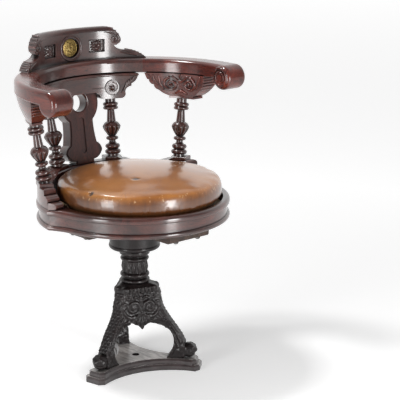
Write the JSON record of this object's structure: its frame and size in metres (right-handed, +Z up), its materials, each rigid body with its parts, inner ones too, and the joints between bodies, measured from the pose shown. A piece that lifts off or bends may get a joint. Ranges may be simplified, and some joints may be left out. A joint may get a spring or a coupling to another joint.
{
  "type": "captains chair",
  "caption": "Swivel captain's chair: round wooden seat with a drop-in leather cushion, turned spindles, bowed arm rail and carved crest, on a cast-iron tripod pedestal.",
  "frame": {"origin": "centre of the deck-bolt hole on the floor, on the swivel axis", "axes": "+Z up along the swivel axis, -Y the way the sitter faces, +X to the sitter's left"},
  "size_m": [0.578, 0.497, 0.8002],
  "materials": {
    "mahogany": "dark French-polished mahogany, glossy",
    "arm_mahogany": "redder French-polished mahogany, glossy",
    "bearer_wood": "plain stained hardwood",
    "dowel_wood": "bare hardwood",
    "board_wood": "bare softwood",
    "leather": "aged brown leather with a worn gloss",
    "cast_iron": "black-brown cast iron",
    "steel": "dull steel",
    "bush_brass": "plain brass",
    "gilt": "worn gilt brass"
  },
  "bodies": {
    "base": {"base_plinth": "cast_iron", "plinth_bolts": "steel", "tripod_casting": "cast_iron", "column": "cast_iron", "upper_bush": "bush_brass", "lower_bush": "bush_brass", "thrust_washer": "bush_brass"},
    "cushion": {"cushion_pad": "leather", "cushion_board": "board_wood"},
    "seat": {"seat_frame_front": "mahogany", "seat_frame_left": "mahogany", "seat_frame_right": "mahogany", "seat_frame_back": "mahogany", "horseshoe_left": "mahogany", "horseshoe_back": "mahogany", "horseshoe_right": "mahogany", "spindle_front_left": "mahogany", "spindle_front_right": "mahogany", "spindle_rear_left": "mahogany", "spindle_rear_right": "mahogany", "splat": "mahogany", "apron": "mahogany", "apron_roundels": "mahogany", "bow_back": "mahogany", "crest": "mahogany", "arm_left": "arm_mahogany", "arm_right": "arm_mahogany", "arm_bracket_left": "arm_mahogany", "arm_bracket_right": "arm_mahogany", "bearer_long": "bearer_wood", "bearer_cross": "bearer_wood", "frame_dowels": "dowel_wood", "horseshoe_dowels": "dowel_wood", "apron_dowels": "dowel_wood", "bracket_dowels": "dowel_wood", "bow_dowels": "dowel_wood", "seat_flange": "cast_iron", "swivel_spindle": "steel", "keeper_washer": "steel", "keeper_nut": "steel", "split_pin": "steel", "flange_screws": "steel", "bearer_screws": "steel", "rail_screws": "steel", "crest_screws": "steel", "medallion": "gilt"}
  },
  "joints": [
    {"name": "seat_swivel", "type": "hinge", "parent": "base", "child": "seat", "pos_m": [0, 0, 0.298], "axis": [0, 0, 1], "continuous": true},
    {"name": "cushion_lift", "type": "slide", "parent": "seat", "child": "cushion", "axis": [0, 0, 1], "range_m": [0, 0.05]}
  ]
}
